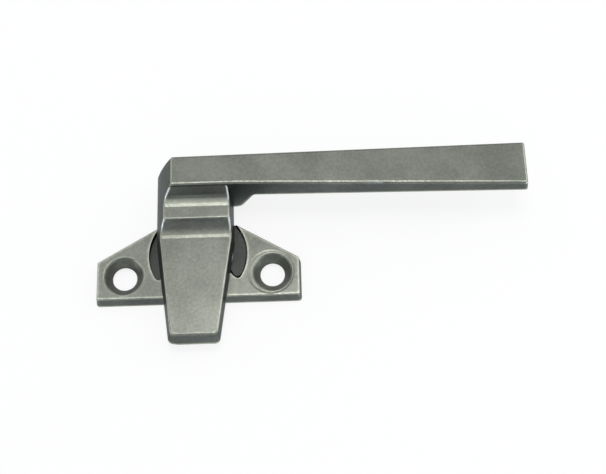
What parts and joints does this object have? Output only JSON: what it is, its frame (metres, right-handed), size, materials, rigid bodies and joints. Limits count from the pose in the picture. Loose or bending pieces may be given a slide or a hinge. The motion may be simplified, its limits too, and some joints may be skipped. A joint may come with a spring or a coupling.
{
  "type": "cam handle",
  "caption": "Cast cam handle for a hinged window sash: a lever arm with a stepped hub and a locking tongue, turning on a screwed base plate.",
  "frame": {"origin": "midway between the two screw holes, on the mounting face", "axes": "+X along the screw line towards the arm in the locked position, +Y away from the locking tongue, +Z out of the mounting face towards the hand"},
  "size_m": [0.1297, 0.0552, 0.0205],
  "materials": {
    "cast_base": "satin bronze-grey, cast",
    "cast_handle": "satin bronze-grey, cast",
    "stud_steel": "turned, bright zinc",
    "nylon": "natural nylon",
    "spring_steel": "tempered",
    "washer_steel": "bright zinc"
  },
  "bodies": {
    "base": {"base_plate": "cast_base", "friction_washer": "nylon", "spring_washer": "spring_steel"},
    "lever": {"handle": "cast_handle", "pivot_stud": "stud_steel", "flat_washer": "washer_steel"}
  },
  "joints": [
    {"name": "handle_turn", "type": "hinge", "parent": "base", "child": "lever", "pos_m": [0, 0.00625, 0.0026], "axis": [0, 0, 1], "range_deg": [0, 90]}
  ]
}
